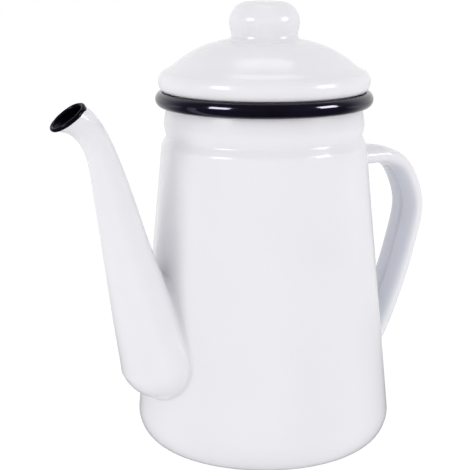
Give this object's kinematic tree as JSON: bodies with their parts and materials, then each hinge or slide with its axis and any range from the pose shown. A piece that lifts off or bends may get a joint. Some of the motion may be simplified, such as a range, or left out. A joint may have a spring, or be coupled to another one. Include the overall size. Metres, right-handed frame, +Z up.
{
  "type": "enamel pot with spout and lid",
  "caption": "Tall tapered enamel pot with a rolled rim, a swan spout, a rolled strap handle and a domed lid that lifts off.",
  "frame": {"origin": "centre of the flat underside of the base pan", "axes": "+Z up along the pot's axis; -X towards the spout, +X towards the handle; +Y to the side"},
  "size_m": [0.1933, 0.119, 0.2085],
  "materials": {
    "white_enamel_body": "glossy fired enamel on sheet steel",
    "white_enamel_spout": "glossy fired enamel on sheet steel",
    "white_enamel_handle": "glossy fired enamel on sheet steel",
    "white_enamel_lid": "glossy fired enamel on sheet steel",
    "dark_enamel": "glossy blue-black fired enamel on sheet steel"
  },
  "bodies": {
    "pot": {"body_shell": "white_enamel_body", "base_pan": "white_enamel_body", "rim_curl": "dark_enamel", "spout_left": "white_enamel_spout", "spout_right": "white_enamel_spout", "spout_lip": "dark_enamel", "handle_strap": "white_enamel_handle"},
    "lid": {"lid_dome": "white_enamel_lid", "lid_collar": "white_enamel_lid", "lid_knob": "white_enamel_lid"}
  },
  "joints": [
    {"name": "lid_lift", "type": "slide", "parent": "pot", "child": "lid", "axis": [0, 0, 1], "range_m": [0, 0.08]}
  ]
}
